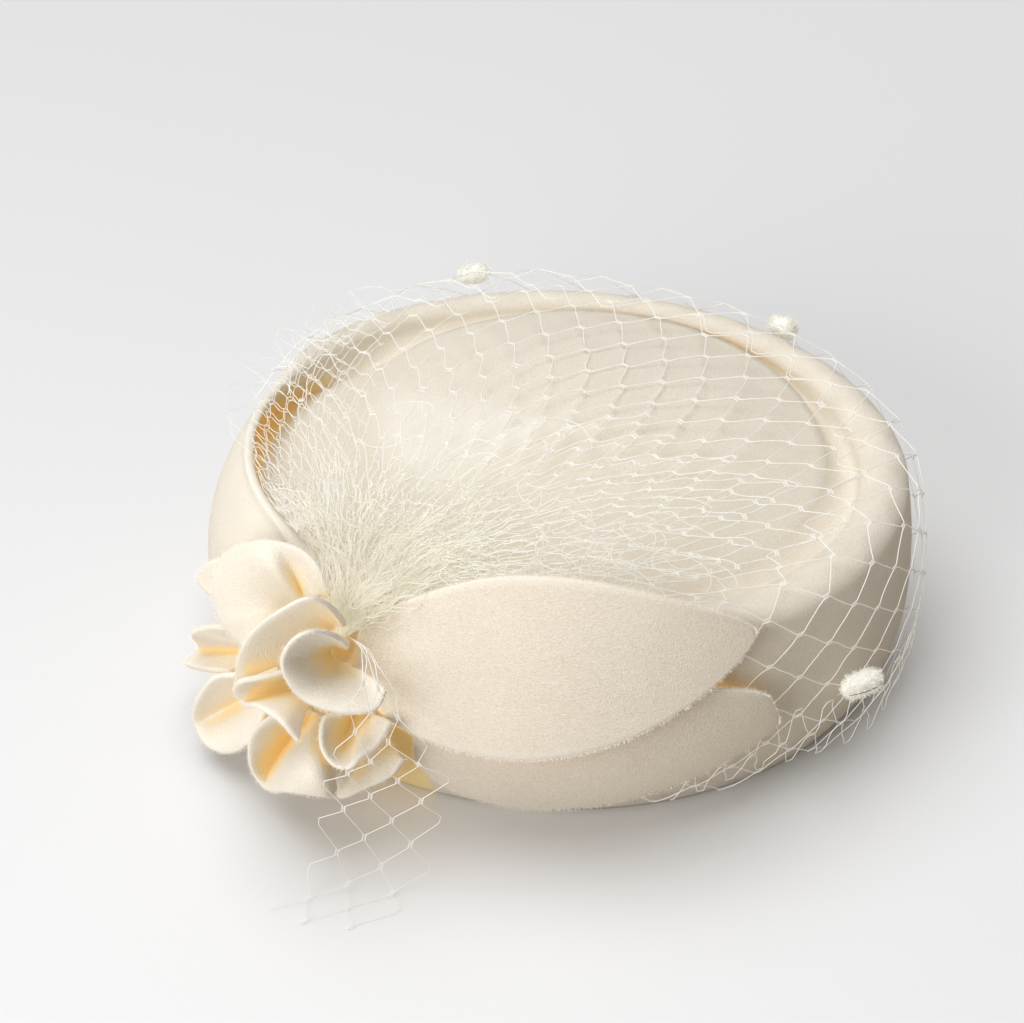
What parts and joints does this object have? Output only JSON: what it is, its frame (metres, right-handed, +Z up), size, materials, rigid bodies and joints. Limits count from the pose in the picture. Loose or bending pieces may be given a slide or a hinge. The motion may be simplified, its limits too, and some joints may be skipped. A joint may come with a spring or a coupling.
{
  "type": "felt pillbox hat",
  "caption": "Cream felt pillbox hat with a rolled rim, sunken crown, folded felt flower and leaves, and a gathered net veil with tufted dots.",
  "frame": {"origin": "middle of the whole hat in plan, on the surface it stands on", "axes": "+Z up, +X to the right and -Y to the front as seen in the picture, flower on the front left"},
  "size_m": [0.2106, 0.226, 0.0848],
  "materials": {
    "felt_body": "matt wool felt with a soft nap",
    "felt_leaf": "matt wool felt with a soft nap",
    "felt_petal": "matt wool felt, thick and soft at the cut edge",
    "veil_thread": "fine white netting thread, slightly glossy",
    "veil_tuft": "matt chenille tuft"
  },
  "bodies": {
    "root": {"hat_body": "felt_body", "leaf_upper": "felt_leaf", "leaf_lower": "felt_leaf", "petal_top": "felt_petal", "petal_top_back": "felt_petal", "petal_arch": "felt_petal", "petal_front": "felt_petal", "petal_rolled": "felt_petal", "petal_low_left": "felt_petal", "petal_bottom": "felt_petal", "petal_loop": "felt_petal", "petal_low_right": "felt_petal", "petal_left": "felt_petal", "veil_net": "veil_thread", "veil_front": "veil_thread", "veil_dot_back": "veil_tuft", "veil_dot_rim": "veil_tuft", "veil_dot_wall": "veil_tuft"}
  },
  "joints": []
}
